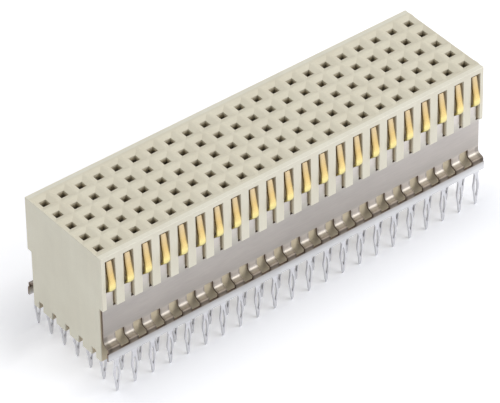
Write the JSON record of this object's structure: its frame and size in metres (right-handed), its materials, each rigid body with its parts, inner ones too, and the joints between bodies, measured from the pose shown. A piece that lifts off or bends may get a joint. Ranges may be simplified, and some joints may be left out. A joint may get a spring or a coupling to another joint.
{
  "type": "vertical backplane connector",
  "caption": "Straight press-fit socket connector for a backplane: a square grid of pin sockets in a long moulded housing, with a sprung, folded metal shield along each side.",
  "frame": {"origin": "under the centre of the socket grid, at the level of the tail tips", "axes": "+X along the columns (the long way), +Y across the rows, +Z out of the mating face; the board's surface is the plane z = 3.3 mm"},
  "size_m": [0.044, 0.0122, 0.0155],
  "materials": {
    "housing_moulding": "light beige glass-filled moulding",
    "contact_plating": "matte tin over copper alloy",
    "shield_sheet": "satin sheet, spring fingers gold plated"
  },
  "bodies": {
    "root": {"housing": "housing_moulding", "shield_front": "shield_sheet", "shield_back": "shield_sheet", "signal_contact_a01": "contact_plating", "signal_contact_a02": "contact_plating", "signal_contact_a03": "contact_plating", "signal_contact_a04": "contact_plating", "signal_contact_a05": "contact_plating", "signal_contact_a06": "contact_plating", "signal_contact_a07": "contact_plating", "signal_contact_a08": "contact_plating", "signal_contact_a09": "contact_plating", "signal_contact_a10": "contact_plating", "signal_contact_a11": "contact_plating", "signal_contact_a12": "contact_plating", "signal_contact_a13": "contact_plating", "signal_contact_a14": "contact_plating", "signal_contact_a15": "contact_plating", "signal_contact_a16": "contact_plating", "signal_contact_a17": "contact_plating", "signal_contact_a18": "contact_plating", "signal_contact_a19": "contact_plating", "signal_contact_a20": "contact_plating", "signal_contact_a21": "contact_plating", "signal_contact_a22": "contact_plating", "signal_contact_b01": "contact_plating", "signal_contact_b22": "contact_plating", "signal_contact_c01": "contact_plating", "signal_contact_c22": "contact_plating", "signal_contact_d01": "contact_plating", "signal_contact_d22": "contact_plating", "signal_contact_e01": "contact_plating", "signal_contact_e02": "contact_plating", "signal_contact_e03": "contact_plating", "signal_contact_e04": "contact_plating", "signal_contact_e05": "contact_plating", "signal_contact_e06": "contact_plating", "signal_contact_e07": "contact_plating", "signal_contact_e08": "contact_plating", "signal_contact_e09": "contact_plating", "signal_contact_e10": "contact_plating", "signal_contact_e11": "contact_plating", "signal_contact_e12": "contact_plating", "signal_contact_e13": "contact_plating", "signal_contact_e14": "contact_plating", "signal_contact_e15": "contact_plating", "signal_contact_e16": "contact_plating", "signal_contact_e17": "contact_plating", "signal_contact_e18": "contact_plating", "signal_contact_e19": "contact_plating", "signal_contact_e20": "contact_plating", "signal_contact_e21": "contact_plating", "signal_contact_e22": "contact_plating"}
  },
  "joints": []
}
